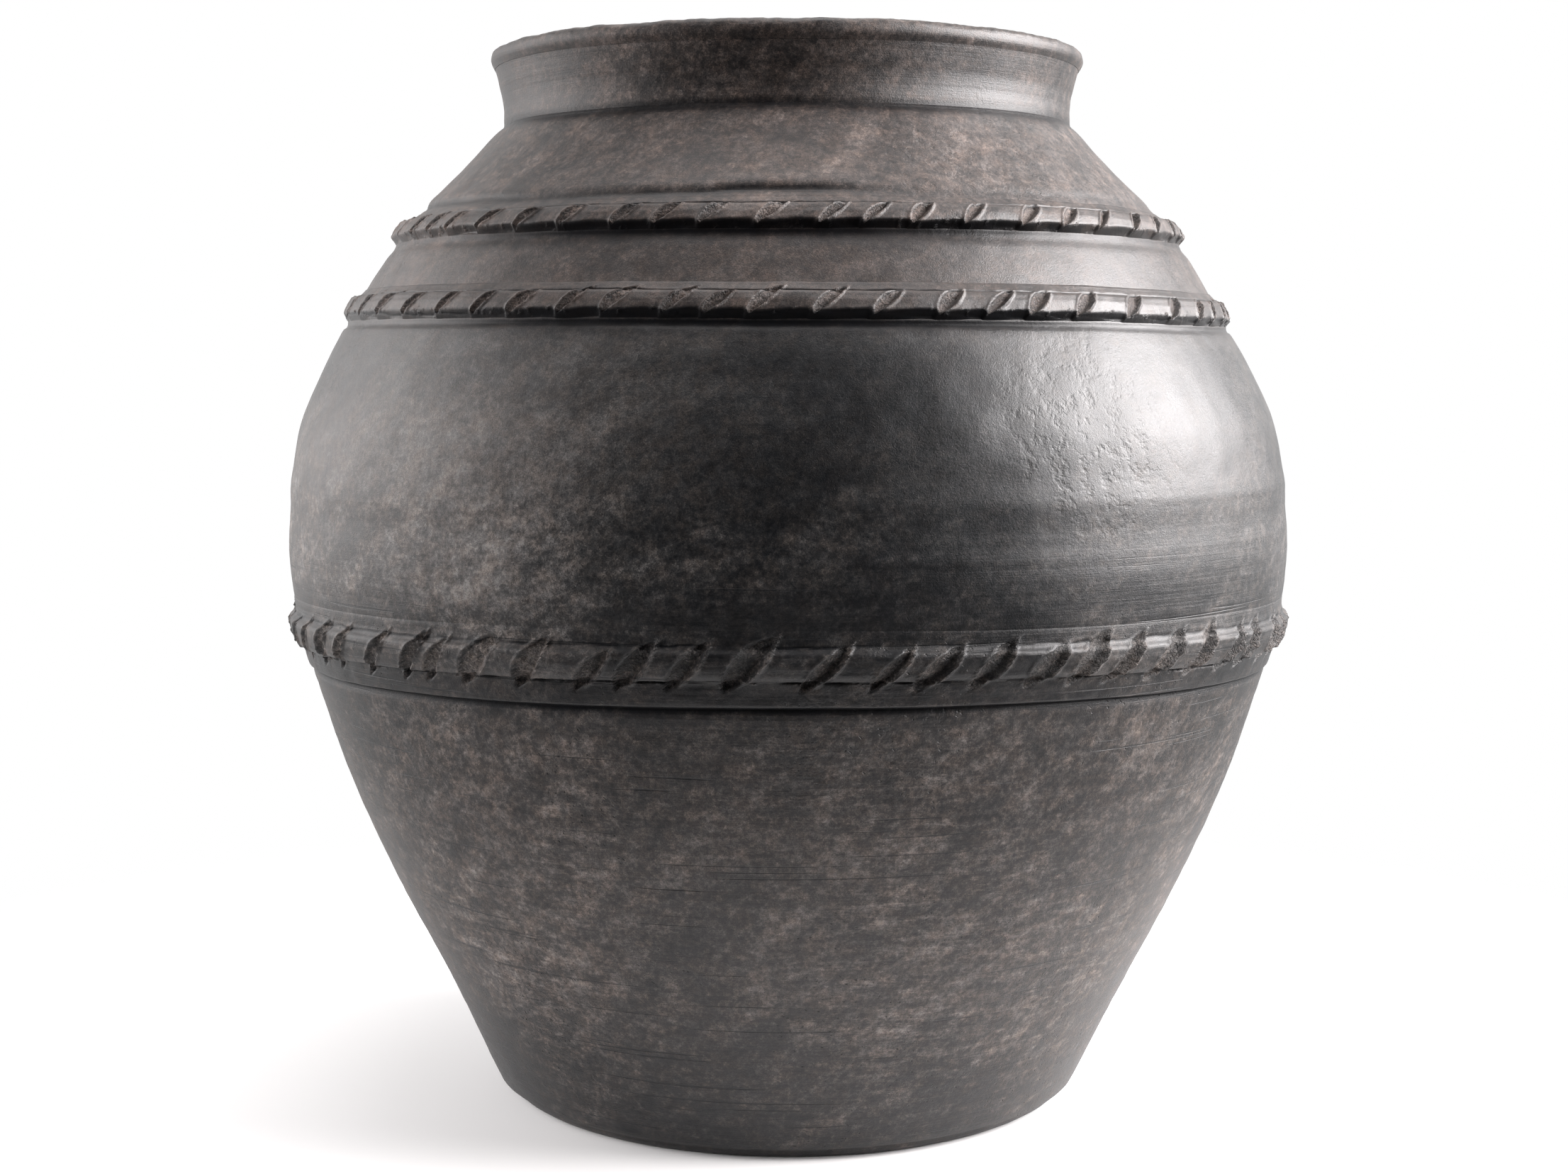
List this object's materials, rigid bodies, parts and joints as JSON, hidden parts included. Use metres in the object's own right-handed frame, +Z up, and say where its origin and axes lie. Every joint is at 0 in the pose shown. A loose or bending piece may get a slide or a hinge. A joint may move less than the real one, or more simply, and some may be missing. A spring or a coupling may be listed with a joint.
{
  "type": "clay storage jar",
  "caption": "Large hand-built black clay jar with a full belly, conical foot, waisted neck, thick lip and notched applied strips.",
  "frame": {"origin": "centre of the underside, where the jar rests on the ground", "axes": "+Z up through the mouth; -Y is the side that the picture shows, and +X is to its right"},
  "size_m": [0.4528, 0.4528, 0.471],
  "materials": {
    "wall_clay": "fired black clay, burnished to a mottled satin, with fine turning marks",
    "band_clay": "fired black clay, darker and a little shinier, rough inside the notches"
  },
  "bodies": {
    "root": {"base_disc": "wall_clay", "lower_wall": "wall_clay", "belly_lower_wall": "wall_clay", "belly_upper_wall": "wall_clay", "shoulder_ring": "wall_clay", "upper_shoulder": "wall_clay", "neck": "wall_clay", "lip": "wall_clay", "band_lower": "band_clay", "band_middle": "band_clay", "band_upper": "band_clay"}
  },
  "joints": []
}
